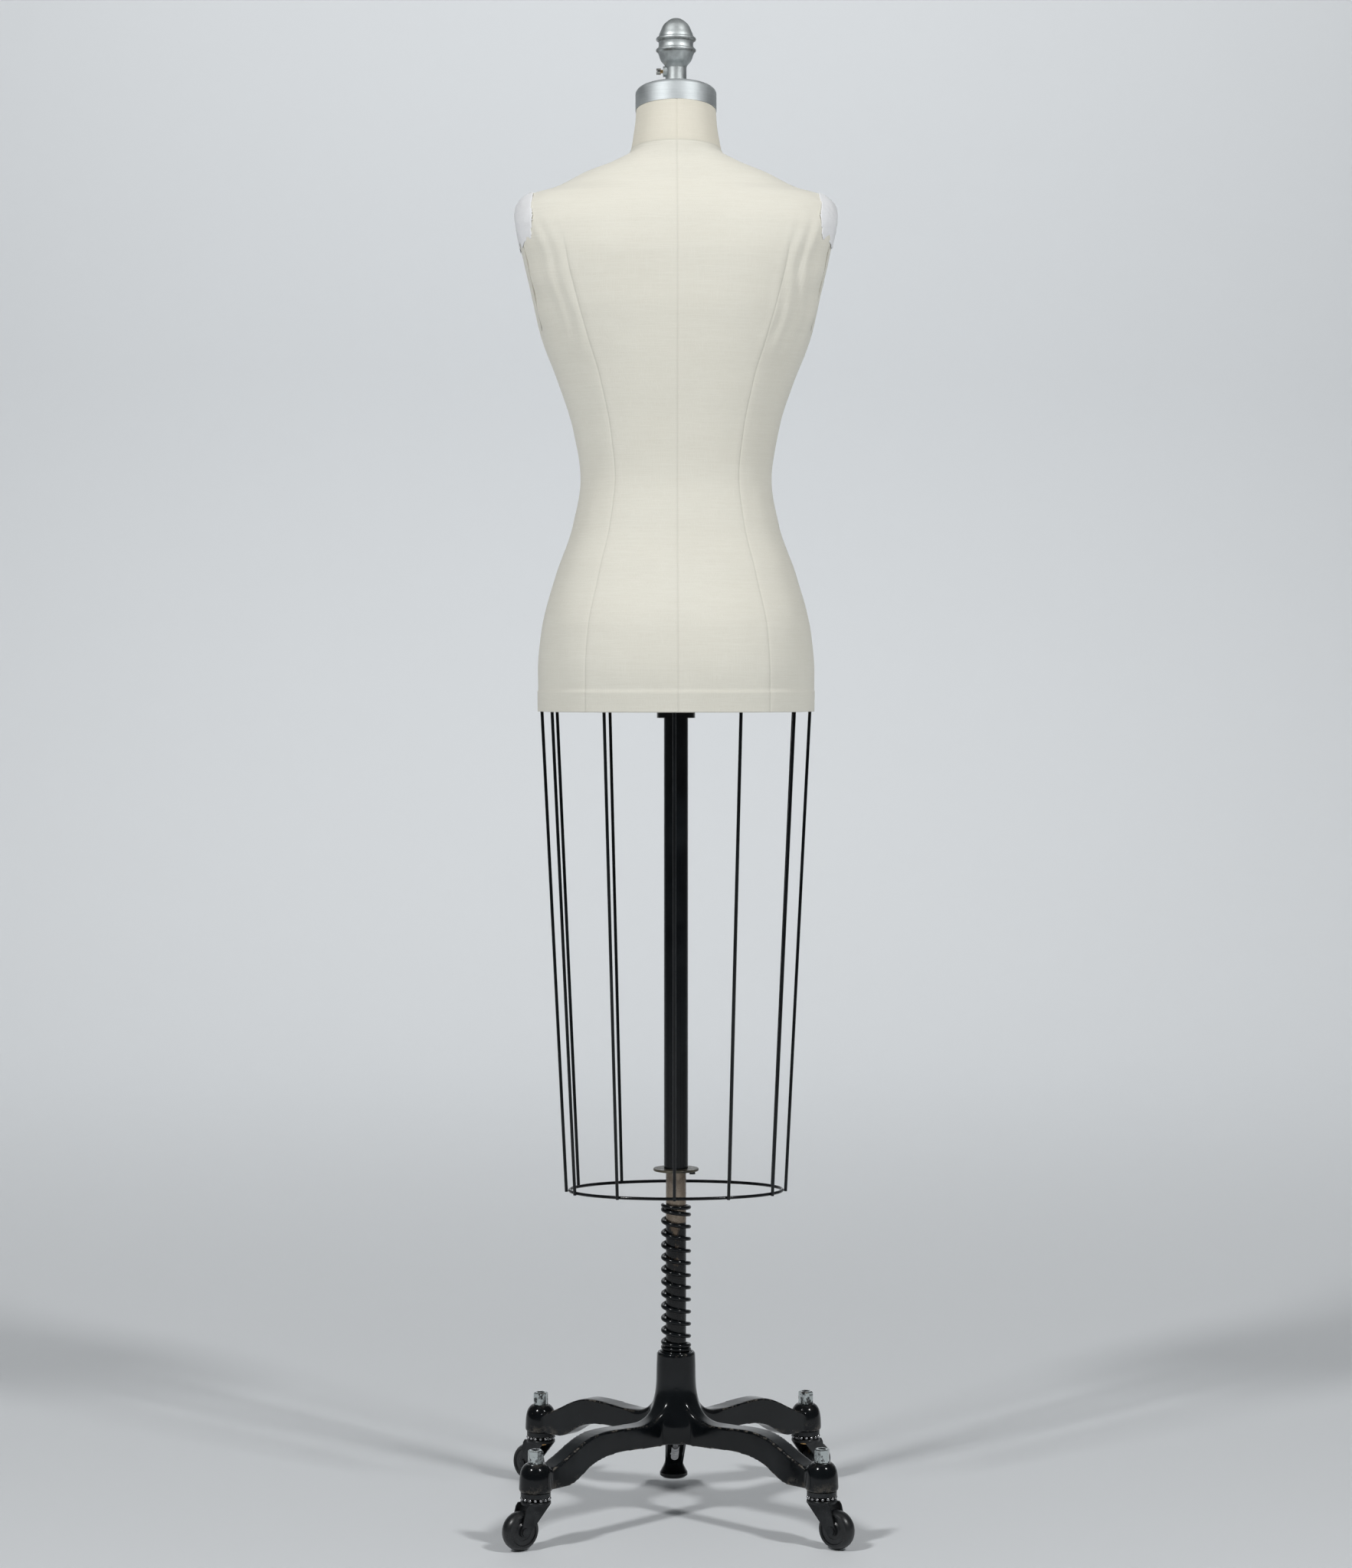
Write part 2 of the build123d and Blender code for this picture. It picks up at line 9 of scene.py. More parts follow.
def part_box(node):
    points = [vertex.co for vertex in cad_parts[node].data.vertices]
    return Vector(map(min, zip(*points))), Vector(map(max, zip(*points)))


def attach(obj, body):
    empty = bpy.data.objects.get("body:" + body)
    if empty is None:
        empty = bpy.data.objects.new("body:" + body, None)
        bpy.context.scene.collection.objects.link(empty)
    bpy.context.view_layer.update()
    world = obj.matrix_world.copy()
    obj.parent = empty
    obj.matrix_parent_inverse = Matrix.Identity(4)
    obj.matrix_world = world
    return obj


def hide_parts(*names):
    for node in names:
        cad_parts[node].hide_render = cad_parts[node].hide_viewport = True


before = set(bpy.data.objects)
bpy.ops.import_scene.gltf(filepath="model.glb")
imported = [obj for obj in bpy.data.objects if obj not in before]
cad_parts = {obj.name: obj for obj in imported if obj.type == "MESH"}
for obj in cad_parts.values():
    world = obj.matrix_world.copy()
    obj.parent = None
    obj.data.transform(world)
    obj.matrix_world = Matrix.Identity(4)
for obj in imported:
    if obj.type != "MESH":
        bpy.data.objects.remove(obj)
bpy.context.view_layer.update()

# ---- driving values, metres ----
ARM_X = 0.1915
ARM_Z = 1.576
ARM_TILT = math.radians(12.2)
ARM_EDGE_SOFTNESS = 0.0035
ARM_CUT_STARTS = (1.35, 1.39)
ARM_CUT_TOP = 1.67
NECK_SEAM_Z = 1.708
NECK_SEAM_TILT = math.tan(math.radians(6.2))
CAP_Z = 1.757
CAP_TILT = math.tan(math.radians(9.1))
HEM_TOP = 1.036
PAINT_EDGE_Z = 0.3685
RIDGE_HEIGHTS = (1.8324, 1.846)
ARMHOLE_INSET = 0.0048
ARMHOLE_CORD_R = 0.0007
COVER_TOP = 1.7569
SEAM_HALF_WIDTH = 0.0009
NECK_SEAM_HALF_WIDTH = 0.0010
SHELL_OUTSIDE = 0.0022
SHELL_INSIDE = 0.0095
PATCH_HEM_Z = 1.5862
PATCH_HEM_CURVE = 0.12
PATCH_EDGE_X = 0.1770
PATCH_THICKNESS = 0.0005
SPRING_WIRE_R = 0.0026
SPRING_OPENING = 0.0104
SPRING_CLOSED_BELOW = 4.4
SPRING_OPEN_TURNS = 11.0
SPRING_CLOSED_ABOVE = 1.1
SPRING_STEPS = 40
CASTING_VOXEL = 0.0016
CASTING_PASSES = 46

# Body sections from the hem up: height, half width, front depth, back depth, squareness.
SECTIONS = (
    (1.010, 0.172, 0.105, 0.122, 2.3),
    (1.060, 0.1725, 0.108, 0.126, 2.3),
    (1.110, 0.168, 0.104, 0.122, 2.3),
    (1.180, 0.150, 0.095, 0.104, 2.2),
    (1.240, 0.129, 0.088, 0.088, 2.2),
    (1.300, 0.119, 0.084, 0.080, 2.2),
    (1.360, 0.128, 0.092, 0.084, 2.2),
    (1.420, 0.147, 0.102, 0.092, 2.2),
    (1.470, 0.1672, 0.108, 0.098, 2.3),
    (1.520, 0.1825, 0.100, 0.102, 2.5),
    (1.570, 0.197, 0.090, 0.102, 2.6),
    (1.610, 0.2045, 0.078, 0.097, 2.6),
    (1.634, 0.2005, 0.068, 0.090, 2.4),
    (1.651, 0.185, 0.060, 0.080, 2.1),
    (1.662, 0.150, 0.056, 0.072, 1.9),
    (1.681, 0.112, 0.054, 0.064, 1.85),
    (1.695, 0.076, 0.054, 0.058, 1.95),
    (1.704, 0.058, 0.0545, 0.056, 2.0),
    (1.722, 0.0535, 0.0535, 0.054, 2.0),
    (1.748, 0.0502, 0.0502, 0.0502, 2.0),
    (1.775, 0.0490, 0.0490, 0.0490, 2.0),
)

# Rounded places on the front (+) and back (-): centre x and height, spread across and up, depth.
MOUNDS = (
    (0.078, 1.466, 0.056, 0.060, 0.0225),
    (0.085, 1.575, 0.060, 0.070, -0.0035),
    (0.075, 1.095, 0.070, 0.080, -0.0050),
)


# ---- small tools ----
def smooth_step(low, high, x):
    t = np.clip((x - low) / (high - low), 0, 1)
    return t * t * (3 - 2 * t)


def grid_mesh(name, points, closed=False):
    """A mesh from a rows x columns grid of points; closed joins the last column to the first."""
    rows, columns = points.shape[:2]
    faces = []
    for r in range(rows - 1):
        for c in range(columns if closed else columns - 1):
            d = (c + 1) % columns
            below = r * columns
            above = below + columns
            faces.append((below + c, below + d, above + d, above + c))
    mesh = bpy.data.meshes.new(name)
    mesh.from_pydata(points.reshape(-1, 3).tolist(), [], faces)
    mesh.update()
    return mesh


def add_piece(name, mesh, body, material):
    """A smooth-shaded object with one material, riding on a CAD body."""
    obj = bpy.data.objects.new(name, mesh)
    bpy.context.scene.collection.objects.link(obj)
    mesh.shade_smooth()
    mesh.materials.clear()
    mesh.materials.append(material)
    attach(obj, body)
    return obj


def tube_mesh(name, path, radius, sides=12, closed=False):
    """A round tube along a path of points; an open tube has closed, domed ends."""
    path = np.asarray(path, dtype=float)
    if closed:
        ahead = np.roll(path, -1, axis=0) - np.roll(path, 1, axis=0)
    else:
        ahead = np.gradient(path, axis=0)
    ahead /= np.linalg.norm(ahead, axis=1, keepdims=True)
    centres = list(path)
    radii = [radius] * len(path)
    if not closed:
        for share in (0.7, 0.98):
            centres.insert(0, path[0] - ahead[0] * radius * share)
            centres.append(path[-1] + ahead[-1] * radius * share)
            radii.insert(0, radius * math.sqrt(1 - share**2))
            radii.append(radius * math.sqrt(1 - share**2))
        ahead = np.concatenate([ahead[:1], ahead[:1], ahead, ahead[-1:], ahead[-1:]])
    normal = np.cross(ahead[0], (0.3, 0.5, 0.81))
    turn = 2 * np.pi * np.arange(sides) / sides
    rings = []
    for centre, direction, r in zip(centres, ahead, radii):
        normal = normal - direction * np.dot(normal, direction)
        normal /= np.linalg.norm(normal)
        side = np.cross(direction, normal)
        rings.append(centre + r * (np.cos(turn)[:, None] * normal + np.sin(turn)[:, None] * side))
    if closed:
        rings.append(rings[0])
    mesh = grid_mesh(name, np.array(rings), True)
    if not closed:
        work = bmesh.new()
        work.from_mesh(mesh)
        bmesh.ops.holes_fill(work, edges=[e for e in work.edges if e.is_boundary])
        work.to_mesh(mesh)
        work.free()
    return mesh


def apply_modifiers(obj):
    """Put the result of the object's modifiers into its mesh."""
    graph = bpy.context.evaluated_depsgraph_get()
    made = bpy.data.meshes.new_from_object(obj.evaluated_get(graph))
    obj.modifiers.clear()
    obj.data = made


def set_attribute(mesh, name, values):
    layer = mesh.attributes.new(name, "FLOAT", "POINT")
    layer.data.foreach_set("value", np.asarray(values, dtype=np.float32).ravel())


# ---- material tools ----
class Shader:
    """A material with a Principled shader and short ways to wire procedural nodes into it."""

    def __init__(self, name):
        self.material = bpy.data.materials.new(name)
        self.material.use_nodes = True
        self.nodes = self.material.node_tree.nodes
        self.links = self.material.node_tree.links
        self.surface = self.nodes["Principled BSDF"]
        self.place = self.nodes.new("ShaderNodeTexCoord").outputs["Object"]

    def set(self, **values):
        for key, value in values.items():
            self.surface.inputs[key.replace("_", " ")].default_value = value
        return self

    def stretch(self, scale):
        node = self.nodes.new("ShaderNodeMapping")
        node.inputs["Scale"].default_value = scale
        self.links.new(self.place, node.inputs["Vector"])
        return node.outputs["Vector"]

    def noise(self, scale, detail=4.0, rough=0.55, stretch=None, bend=0.0):
        node = self.nodes.new("ShaderNodeTexNoise")
        node.inputs["Scale"].default_value = scale
        node.inputs["Detail"].default_value = detail
        node.inputs["Roughness"].default_value = rough
        node.inputs["Distortion"].default_value = bend
        self.links.new(self.stretch(stretch) if stretch else self.place, node.inputs["Vector"])
        return node.outputs["Fac"]

    def ramp(self, value, low, high, start=0.0, end=1.0):
        node = self.nodes.new("ShaderNodeMapRange")
        node.inputs["From Min"].default_value = low
        node.inputs["From Max"].default_value = high
        node.inputs["To Min"].default_value = start
        node.inputs["To Max"].default_value = end
        self.links.new(value, node.inputs["Value"])
        return node.outputs["Result"]

    def math(self, kind, a, b):
        node = self.nodes.new("ShaderNodeMath")
        node.operation = kind
        for socket, value in zip(node.inputs, (a, b)):
            if isinstance(value, (int, float)):
                socket.default_value = value
            else:
                self.links.new(value, socket)
        return node.outputs["Value"]

    def mix(self, factor, a, b):
        node = self.nodes.new("ShaderNodeMix")
        node.data_type = "RGBA"
        if isinstance(factor, (int, float)):
            node.inputs["Factor"].default_value = factor
        else:
            self.links.new(factor, node.inputs["Factor"])
        for socket, value in ((node.inputs[6], a), (node.inputs[7], b)):
            if isinstance(value, tuple):
                socket.default_value = (*value, 1.0)
            else:
                self.links.new(value, socket)
        return node.outputs[2]

    def attribute(self, name):
        node = self.nodes.new("ShaderNodeAttribute")
        node.attribute_name = name
        return node.outputs["Fac"]

    def axis(self, letter):
        node = self.nodes.new("ShaderNodeSeparateXYZ")
        self.links.new(self.place, node.inputs["Vector"])
        return node.outputs[letter]

    def pointiness(self):
        return self.nodes.new("ShaderNodeNewGeometry").outputs["Pointiness"]

    def colour(self, value):
        self.links.new(value, self.surface.inputs["Base Color"])
        return self

    def rough(self, value):
        self.links.new(value, self.surface.inputs["Roughness"])
        return self

    def metal(self, value):
        self.links.new(value, self.surface.inputs["Metallic"])
        return self

    def bump(self, height, strength, distance):
        node = self.nodes.new("ShaderNodeBump")
        node.inputs["Strength"].default_value = strength
        node.inputs["Distance"].default_value = distance
        previous = self.surface.inputs["Normal"].links
        if previous:
            self.links.new(previous[0].from_socket, node.inputs["Normal"])
        self.links.new(height, node.inputs["Height"])
        self.links.new(node.outputs["Normal"], self.surface.inputs["Normal"])
        return self


# ---- materials ----
def enamel(name, chips, shade=1.0):
    """Thick gloss black enamel, dusty in places, chipped to bare iron on its edges and sockets."""
    s = Shader(name)
    deep = tuple(c * shade for c in (0.0022, 0.0031, 0.0040))
    dusty = tuple(c * shade for c in (0.0085, 0.0108, 0.0128))
    colour = s.mix(s.ramp(s.noise(14, 6), 0.42, 0.75), deep, dusty)
    rough = s.ramp(s.noise(42, 5), 0.3, 0.75, 0.10, 0.24)
    if chips:
        edge = s.ramp(s.pointiness(), 0.51, 0.55)
        spots = s.ramp(s.noise(110, 4, 0.7), 0.52, 0.58)
        sockets = s.ramp(s.axis("Z"), 0.082, 0.070)
        low = s.math("MULTIPLY", sockets, s.ramp(s.noise(70, 5, 0.7), 0.50, 0.60))
        scratch = s.ramp(s.noise(34, 6, 0.75, (1, 1, 0.7)), 0.66, 0.70, 0.0, 0.6)
        worn = s.math("MAXIMUM", s.math("MULTIPLY", edge, spots), s.math("MULTIPLY", low, 0.55))
        worn = s.math("MAXIMUM", worn, s.math("MULTIPLY", scratch, 0.5))
        colour = s.mix(worn, colour, (0.13, 0.115, 0.095))
        rough = s.math("ADD", rough, s.math("MULTIPLY", worn, 0.3))
    s.colour(colour).rough(rough)
    s.set(Coat_Weight=0.06, Coat_Roughness=0.08, IOR=1.36)
    s.bump(s.noise(30, 2), 0.25 if chips else 0.05, 0.0007)
    if chips:
        s.bump(s.noise(380, 2), 0.06, 0.0002)
    return s.material


def nut_plating():
    """Old plating on the nuts: bright where rubbed, black enamel left in the hollows."""
    s = Shader("nut_plating")
    bright = s.ramp(s.noise(260, 4, 0.65), 0.55, 0.60)
    rubbed = s.ramp(s.noise(120, 3), 0.42, 0.5)
    edge = s.math("MULTIPLY", s.ramp(s.pointiness(), 0.52, 0.60), rubbed)
    shown = s.math("MAXIMUM", bright, edge)
    s.colour(s.mix(shown, (0.006, 0.008, 0.009), (0.50, 0.54, 0.54)))
    s.metal(s.math("MULTIPLY", shown, 0.95))
    s.rough(s.ramp(s.noise(220, 3), 0.3, 0.7, 0.08, 0.24))
    return s.bump(s.noise(190, 3), 0.35, 0.0005).material


def stem_plating():
    """A caster stem: plated at its top, brass at its riveted foot."""
    s = Shader("stem_plating")
    foot = s.ramp(s.axis("Z"), 0.058, 0.056)
    s.colour(s.mix(foot, (0.05, 0.052, 0.052), (0.62, 0.38, 0.16)))
    s.rough(s.ramp(s.noise(160, 4), 0.3, 0.7, 0.18, 0.34))
    s.set(Metallic=1.0)
    return s.bump(s.noise(300, 3), 0.15, 0.0003).material


def worn_pole():
    """Bare brown steel above the paint edge; below it black enamel rubbed through in streaks."""
    s = Shader("worn_pole")
    mottle = s.ramp(s.noise(30, 6, 0.6, (1, 1, 0.4)), 0.35, 0.7)
    bare = s.mix(mottle, (0.15, 0.115, 0.085), (0.36, 0.30, 0.24))
    near_edge = s.ramp(s.axis("Z"), 0.27, PAINT_EDGE_Z, 0.0, 0.10)
    rubbed = s.ramp(s.math("ADD", s.noise(30, 5, 0.6, (1, 1, 0.5)), near_edge), 0.645, 0.69)
    painted = s.mix(rubbed, (0.0025, 0.0032, 0.0038), (0.14, 0.105, 0.075))
    wobble = s.math("MULTIPLY", s.noise(60, 3), 0.003)
    height = s.math("ADD", s.axis("Z"), wobble)
    above = s.ramp(height, PAINT_EDGE_Z + 0.0012, PAINT_EDGE_Z + 0.002)
    s.colour(s.mix(above, painted, bare))
    s.metal(s.math("MAXIMUM", s.math("MULTIPLY", rubbed, 0.6), s.math("MULTIPLY", above, 0.85)))
    s.rough(s.ramp(s.noise(90, 4), 0.3, 0.7, 0.16, 0.36))
    s.set(Coat_Weight=0.12, Coat_Roughness=0.1, IOR=1.38)
    return s.bump(s.noise(150, 3, 0.5, (1, 1, 0.15)), 0.1, 0.0003).material


def turned_alloy():
    """The cap: lathe-turned aluminium with broken rings, streaks and soft handling marks."""
    s = Shader("cap_alloy")
    rings = s.noise(3.0, 6, 0.75, (1.0, 1.0, 330))
    streaks = s.noise(14, 4, 0.6, (1, 1, 9))
    cloud = s.noise(22, 5, 0.6)
    colour = s.mix(s.ramp(cloud, 0.3, 0.75), (0.50, 0.535, 0.545), (0.72, 0.755, 0.765))
    colour = s.mix(s.ramp(rings, 0.45, 0.75, 0.0, 0.5), colour, (0.38, 0.405, 0.415))
    colour = s.mix(s.ramp(streaks, 0.5, 0.8, 0.0, 0.35), colour, (0.82, 0.83, 0.84))
    s.colour(colour)
    s.rough(s.math("ADD", s.ramp(rings, 0.3, 0.7, 0.0, 0.08), s.ramp(cloud, 0.3, 0.7, 0.52, 0.62)))
    s.set(Metallic=1.0)
    s.bump(rings, 0.25, 0.0002)
    return s.bump(s.noise(300, 3), 0.06, 0.0002).material


def cast_alloy():
    """The finial: sand-cast aluminium polished by hands, with dark brown bands just under its ridges."""
    s = Shader("finial_alloy")
    cloud = s.noise(60, 6, 0.65)
    colour = s.mix(s.ramp(cloud, 0.3, 0.72), (0.44, 0.47, 0.47), (0.70, 0.74, 0.74))
    for ridge in RIDGE_HEIGHTS:
        off = s.math("ABSOLUTE", s.math("SUBTRACT", s.axis("Z"), ridge - 0.0022), 0)
        near = s.ramp(off, 0.0, 0.0022, 1.0, 0.0)
        # A dark brown band runs just under each ridge, broken up by noise.
        under_ridge_band = s.math("MULTIPLY", near, s.ramp(s.noise(90, 4), 0.35, 0.6))
        colour = s.mix(s.math("MULTIPLY", under_ridge_band, 0.75), colour, (0.085, 0.07, 0.055))
    s.colour(colour)
    s.rough(s.ramp(s.noise(85, 5), 0.3, 0.7, 0.46, 0.60))
    s.set(Metallic=1.0)
    s.bump(cloud, 0.35, 0.0006)
    return s.bump(s.noise(420, 3), 0.12, 0.0002).material


def thumb_screw_finish():
    """A plated slotted head on a brass shank."""
    s = Shader("thumb_screw_finish")
    shank = s.ramp(s.axis("X"), -0.0200, -0.0194)
    s.colour(s.mix(shank, (0.62, 0.61, 0.58), (0.56, 0.36, 0.16)))
    s.rough(s.ramp(s.noise(160, 4), 0.3, 0.7, 0.14, 0.3))
    s.set(Metallic=1.0)
    return s.bump(s.noise(300, 3), 0.15, 0.0003).material


def cloth(name, light, dark, threads, seam_dark, sheen):
    """Plain woven cloth: crossed threads with slubs, soft stains, darker seams, a yellower neck."""
    s = Shader(name)
    warp = s.noise(threads, 2, 0.6, (1, 1, 0.05))
    weft = s.noise(threads, 2, 0.6, (0.06, 0.06, 1))
    weave = s.math("MAXIMUM", warp, weft)
    slub = s.noise(threads * 0.28, 3, 0.6, (0.05, 0.05, 1.6))
    stain = s.noise(5.5, 5, 0.55)
    tone = s.math("ADD", s.ramp(weave, 0.35, 0.8, 0.15, 0.5), s.ramp(slub, 0.35, 0.75, 0.0, 0.16))
    tone = s.math("ADD", tone, s.ramp(stain, 0.3, 0.75, 0.0, 0.34))
    colour = s.mix(tone, dark, light)
    stitched = s.math("MULTIPLY", s.attribute("seam"), seam_dark)
    colour = s.mix(stitched, colour, tuple(c * 0.42 for c in dark))
    yellowed = s.math("MULTIPLY", s.attribute("neck"), s.ramp(stain, 0.3, 0.7, 0.20, 0.42))
    colour = s.mix(yellowed, colour, (0.86, 0.78, 0.62))
    s.colour(colour)
    s.rough(s.ramp(weave, 0.3, 0.8, 0.92, 0.78))
    s.set(Sheen_Weight=sheen, Sheen_Roughness=0.5, Specular_IOR_Level=0.25)
    s.bump(weave, 0.5, 0.0004)
    return s.bump(slub, 0.25, 0.0003).material


def plain(name, dark, light, rough, metal=0.0, grain=90.0, stretch=None, coat=0.0):
    """A mottled surface between two close colours, with fine bump and uneven gloss."""
    s = Shader(name)
    s.colour(s.mix(s.ramp(s.noise(grain, 5, 0.6, stretch), 0.3, 0.72), dark, light))
    s.rough(s.ramp(s.noise(grain * 1.7, 4), 0.3, 0.7, rough[0], rough[1]))
    s.set(Metallic=metal, Coat_Weight=coat, Coat_Roughness=0.12)
    return s.bump(s.noise(grain * 4, 3, 0.6, stretch), 0.15, 0.0003).material


ENAMEL_CAST = enamel("enamel_cast", True)
ENAMEL_TUBE = enamel("enamel_tube", False)
ENAMEL_WIRE = enamel("enamel_wire", False, 0.8)
POLE = worn_pole()
CAP_ALLOY = turned_alloy()
FINIAL_ALLOY = cast_alloy()
LINEN = cloth("linen", (0.88, 0.865, 0.775), (0.755, 0.725, 0.625), 900, 0.17, 0.2)
WHITE_CLOTH = cloth("white_cloth", (0.93, 0.935, 0.94), (0.80, 0.81, 0.83), 1100, 0.3, 0.2)
STAMPED = plain("stamped_steel", (0.009, 0.0105, 0.012), (0.040, 0.042, 0.044), (0.24, 0.42), 0.55, 55)
CHROME = plain("dark_chrome", (0.22, 0.22, 0.23), (0.55, 0.55, 0.56), (0.12, 0.3), 1.0, 120)
WHEEL = plain("wheel_plastic", (0.006, 0.007, 0.008), (0.016, 0.0175, 0.019), (0.26, 0.42), 0.0, 70)
THUMB_SCREW = thumb_screw_finish()
NUT = nut_plating()
STEM = stem_plating()
BOARD = plain("varnished_board", (0.26, 0.16, 0.08), (0.48, 0.33, 0.19), (0.4, 0.55), 0.0, 40, (0.15, 1, 1))
PAPER = plain("papier_mache", (0.30, 0.24, 0.16), (0.50, 0.42, 0.31), (0.8, 0.95), 0.0, 30)
BUSH = plain("bush_plastic", (0.55, 0.53, 0.47), (0.68, 0.66, 0.60), (0.4, 0.55))
COLLAR = plain("collar_steel", (0.020, 0.020, 0.018), (0.20, 0.18, 0.13), (0.3, 0.5), 0.7, 45, None, 0.2)

NODE_MATERIALS = {
    "lower_pole": POLE, "caster_stems": STEM, "caster_nuts": NUT,
    "caster_bearing_cups": STAMPED, "caster_bearing_balls": CHROME, "pedal_pin": CHROME,
    "pedal_foot_pad": ENAMEL_TUBE, "foot_pedal": ENAMEL_TUBE, "pedal_return_spring": CHROME,
    "mast_outer_tube": ENAMEL_TUBE, "mast_bush_lower": BUSH, "mast_bush_upper": BUSH,
    "mast_collar_disc": COLLAR, "collar_catch_screw": ENAMEL_TUBE,
    "bottom_board": BOARD, "flange_socket": ENAMEL_TUBE, "flange_screws": CHROME, "centre_rod": POLE,
    "neck_block": BOARD, "neck_cap": CAP_ALLOY, "finial": FINIAL_ALLOY, "finial_thumb_screw": THUMB_SCREW,
    "cage_ring": ENAMEL_WIRE, "cage_wires": ENAMEL_WIRE,
}
for corner in ("front_right", "front_left", "back_left", "back_right"):
    NODE_MATERIALS["caster_fork_" + corner] = STAMPED
    NODE_MATERIALS["caster_axle_" + corner] = STAMPED
    NODE_MATERIALS["caster_wheel_" + corner] = WHEEL
for node_name, material in NODE_MATERIALS.items():
    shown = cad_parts[node_name]
    for material_slot in shown.material_slots:
        material_slot.material = material


# ---- body surface ----
TABLE = np.array(SECTIONS)


def section_at(heights):
    """Half width, front depth, back depth and squareness at each height, joined by smooth curves."""
    z = TABLE[:, 0]
    out = []
    for column in range(1, 5):
        v = TABLE[:, column]
        step = np.diff(z)
        slope = np.diff(v) / step
        tangent = np.zeros_like(v)
        same = slope[:-1] * slope[1:] > 0
        weight_a = 2 * step[1:] + step[:-1]
        weight_b = step[1:] + 2 * step[:-1]
        with np.errstate(divide="ignore", invalid="ignore"):
            middle = (weight_a + weight_b) / (weight_a / slope[:-1] + weight_b / slope[1:])
        tangent[1:-1] = np.where(same, middle, 0)
        tangent[0] = slope[0]
        tangent[-1] = slope[-1]
        i = np.clip(np.searchsorted(z, heights, side="right") - 1, 0, len(z) - 2)
        t = (heights - z[i]) / step[i]
        h00 = 2 * t**3 - 3 * t**2 + 1
        h10 = t**3 - 2 * t**2 + t
        h01 = -2 * t**3 + 3 * t**2
        h11 = t**3 - t**2
        slopes = h10 * step[i] * tangent[i] + h11 * step[i] * tangent[i + 1]
        out.append(h00 * v[i] + h01 * v[i + 1] + slopes)
    return out


def arm_distance(x, z):
    """How far a point stands out past the flat plane of its arm end."""
    return (np.abs(x) - ARM_X) * math.cos(ARM_TILT) - (z - ARM_Z) * math.sin(ARM_TILT)


def body_surface(angles, heights):
    """Points of the body over a grid of heights (rows) and angles (columns), arm ends flattened."""
    a, front, back, square = [v[:, None] for v in section_at(heights)]
    c = np.cos(angles)[None, :]
    s = np.sin(angles)[None, :]
    x = a * np.sign(c) * np.abs(c) ** (2 / square)
    depth = np.where(s >= 0, front, back)
    y = depth * np.sign(s) * np.abs(s) ** (2 / square)
    z = np.repeat(heights[:, None], len(angles), axis=1)
    for centre_x, centre_z, wide, tall, push in MOUNDS:
        spread = np.exp(-(((np.abs(x) - centre_x) / wide) ** 2) - ((z - centre_z) / tall) ** 2)
        y = y + push * spread * smooth_step(0.0, 0.035, y * np.sign(push))
    # The neck seam tilts down to the front, and the cap tilts more.
    lean = smooth_step(1.690, NECK_SEAM_Z, z) * NECK_SEAM_TILT
    lean = lean + smooth_step(1.715, CAP_Z, z) * (CAP_TILT - NECK_SEAM_TILT)
    z = z - y * lean
    # The arm ends are flat tilted ovals with a soft edge.
    side = np.sign(x)
    past = np.clip(arm_distance(x, z) / ARM_EDGE_SOFTNESS, -30, 30)
    over = ARM_EDGE_SOFTNESS * np.log1p(np.exp(past))
    over = over * (z < ARM_CUT_TOP) * smooth_step(*ARM_CUT_STARTS, z)
    x = x - side * over * math.cos(ARM_TILT)
    z = z + over * math.sin(ARM_TILT)
    return np.stack([x, y, z], axis=-1)


def grid_normals(points, closed):
    """Outward unit normals of a grid of points."""
    if closed:
        across = np.roll(points, -1, axis=1) - np.roll(points, 1, axis=1)
    else:
        across = np.gradient(points, axis=1)
    up = np.gradient(points, axis=0)
    n = np.cross(across, up)
    return n / np.maximum(np.linalg.norm(n, axis=-1, keepdims=True), 1e-9)


def cloud(points, scale, seed):
    """Smooth noise at each point of a grid, from -1 to 1."""
    flat = points.reshape(-1, 3)
    values = [noise.noise(Vector((p[0] * scale + seed, p[1] * scale, p[2] * scale))) for p in flat]
    return np.array(values).reshape(points.shape[:2])


def arm_wrinkles(points):
    """Pulls in the cloth: short ones fan out from the arm ends, long ones run down beside them."""
    x, y, z = points[..., 0], points[..., 1], points[..., 2]
    up = (z - ARM_Z) / 0.064
    ring = np.sqrt((y / 0.046) ** 2 + up**2)
    turn = np.arctan2(up, y / 0.046)
    fan = np.exp(-(((ring - 1.45) / 0.45) ** 2)) * smooth_step(0.115, 0.165, np.abs(x))
    fan = fan * smooth_step(1.66, 1.62, z) * (np.sin(11 * turn + 2.6 * np.sin(2 * turn + z * 31) + 20 * x))
    away = np.abs(x) - (0.150 + 0.26 * (z - 1.53))
    sway = 1.6 * np.sin(23 * z + 2.0 * np.sign(x)) + 0.9 * np.sin(61 * z + np.sign(x))
    beside = np.exp(-((away / 0.024) ** 2)) * smooth_step(1.43, 1.49, z) * smooth_step(1.635, 1.585, z)
    beside = beside * np.sin(2 * np.pi * away / 0.017 + sway) * np.where(x > 0, 1.0, 0.6)
    return 0.0009 * fan + 0.0011 * beside


SEAM_ANGLES = np.radians([-90, -52, 0, 52, 90, 128, 180, 232])


def seam_columns():
    """Angles round the body, close together at each seam."""
    angles = []
    seams = np.append(SEAM_ANGLES, SEAM_ANGLES[0] + 2 * np.pi)
    square_on = np.array([0.0014, 0.0040, 0.0105, 0.026])
    slanted = np.array([0.0055, 0.011, 0.018, 0.030])
    for first, second in zip(seams[:-1], seams[1:]):
        after = square_on if abs(math.sin(2 * first)) < 0.01 else slanted
        before = square_on if abs(math.sin(2 * second)) < 0.01 else slanted
        angles.append(first)
        angles.extend(first + after)
        angles.extend(np.linspace(first + after[-1], second - before[-1], 27)[1:-1])
        angles.extend(second - before[::-1])
    return np.array(angles)


